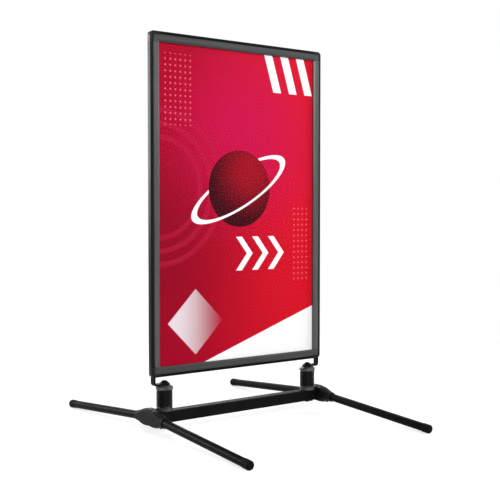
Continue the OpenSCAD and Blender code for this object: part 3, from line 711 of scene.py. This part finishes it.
cover_clear, tree, shader, place = start_finish(
    "clear cover", Alpha=0.04, Base_Color=tone(70, 71, 72), Specular_IOR_Level=0.3
)
uneven_gloss(tree, shader, place, 0.12, 0.22, 12.0)
dress(cover_clear, "front_cover", "back_cover")

# Snap rails. Eight extruded aluminium lips, four on each face. Each hangs on a bead in
# its socket and snaps down over the cover's edge; on the real sign it swings open to change a
# poster.

upright_rail = anodised(
    "upright rail anodising", "Z", tone(62, 64, 64), tone(82, 84, 84), 0.26, 0.36, 0.4
)
# The level rails take a darker tone and less sheen than the upright rails of the same extrusion:
# painted shade on the top and bottom rails.
level_rail_painted_shade = anodised(
    "level rail anodising with painted shade", "X", tone(48, 49, 49), tone(64, 66, 66), 0.26, 0.36, 0.25
)
for face in ("front", "back"):
    dress(upright_rail, face + "_left_rail", face + "_right_rail")
    dress(level_rail_painted_shade, face + "_top_rail", face + "_bottom_rail")

# Studio. A pale floor that fades into white, a soft white world, five soft boxes, and
# the camera at the photograph's place.

FLOOR_REACH, FLOOR_DROP = 7.0, 0.0003
FADE_START, FADE_END = 0.9, 2.6
WHITE = (1, 1, 1, 1)


def sees_white(tree):
    """1 for a ray that the camera sends, straight or by way of gloss or clear plastic."""
    rays = add(tree, "LightPath").outputs
    seen = reckon(tree, "MAXIMUM", rays["Is Camera Ray"], rays["Is Glossy Ray"])
    return reckon(tree, "MAXIMUM", seen, rays["Is Transmission Ray"])


floor_mesh = bpy.data.meshes.new("floor")
floor_corners = []
for x, y in ((-1, -1), (1, -1), (1, 1), (-1, 1)):
    floor_corners.append((x * FLOOR_REACH, y * FLOOR_REACH, -FLOOR_DROP))
floor_mesh.from_pydata(floor_corners, [], [(0, 1, 2, 3)])
piece_of("floor", floor_mesh)

floor_white, tree, shader, place = start_finish(
    "studio floor", Base_Color=(0.42, 0.42, 0.42, 1), Roughness=0.9, Specular_IOR_Level=0.0
)
plain = shader.outputs[0]
glow = add(tree, "Emission", {"Color": WHITE, "Strength": 0.6}).outputs[0]
backdrop = add(tree, "Emission", {"Color": WHITE, "Strength": 1.0}).outputs[0]
near = add(tree, "AddShader", {0: plain, 1: glow}).outputs[0]
away = add(tree, "VectorMath", {0: place}, operation="LENGTH").outputs["Value"]
far = {"Value": away, "From Min": FADE_START, "From Max": FADE_END}
far = add(tree, "MapRange", far, interpolation_type="SMOOTHSTEP").outputs["Result"]
shown = add(tree, "MixShader", {0: far, 1: near, 2: backdrop}).outputs[0]
choice = add(tree, "MixShader", {0: sees_white(tree), 1: plain, 2: shown}).outputs[0]
tree.links.new(choice, tree.nodes["Material Output"].inputs["Surface"])
floor_mesh.materials.append(floor_white)

world = bpy.data.worlds.new("studio world")
bpy.context.scene.world = world
world.use_nodes = True
tree = world.node_tree
strength = {"Value": sees_white(tree), "To Min": 0.62, "To Max": 1.0}
strength = add(tree, "MapRange", strength).outputs["Result"]
sky = tree.nodes["Background"]
sky.inputs["Color"].default_value = WHITE
tree.links.new(strength, sky.inputs["Strength"])


def soft_box(name, place, aim, size, watts):
    """A square lamp, turned to face a point."""
    lamp = bpy.data.lights.new(name, "AREA")
    lamp.shape, lamp.size, lamp.energy = "SQUARE", size, watts
    stand = bpy.data.objects.new(name, lamp)
    bpy.context.scene.collection.objects.link(stand)
    stand.location = place
    x, y, z = (p - a for p, a in zip(place, aim))
    dip = math.acos(z / math.hypot(x, y, z))
    stand.rotation_euler = (dip, 0, math.atan2(y, x) + math.pi / 2)


soft_box("front soft box", (-1.2, -3.4, 2.6), (0, 0, 0.7), 2.2, 120)
soft_box("front right soft box", (2.4, -3.2, 2.4), (0, 0, 0.9), 1.4, 9)
soft_box("right soft box", (3.6, -0.9, 1.5), (0, 0, 0.9), 1.2, 90)
soft_box("back left soft box", (-2.4, 3.2, 1.5), (0, 0, 0.8), 1.4, 110)
soft_box("back right soft box", (1.6, 3.4, 2.6), (0, 0, 0.7), 2.2, 70)

CAMERA_DIP, CAMERA_HEADING = 2.3664, -37.2593
camera_data = bpy.data.cameras.new("camera")
camera_data.sensor_width = 36.0
camera_data.lens = 68.816
camera = bpy.data.objects.new("camera", camera_data)
bpy.context.scene.collection.objects.link(camera)
camera.location = (-2.026979, -2.725282, 0.74813)
camera.rotation_euler = (math.radians(90 - CAMERA_DIP), 0.0, math.radians(CAMERA_HEADING))
bpy.context.scene.camera = camera
bpy.context.scene.view_settings.view_transform = "Standard"
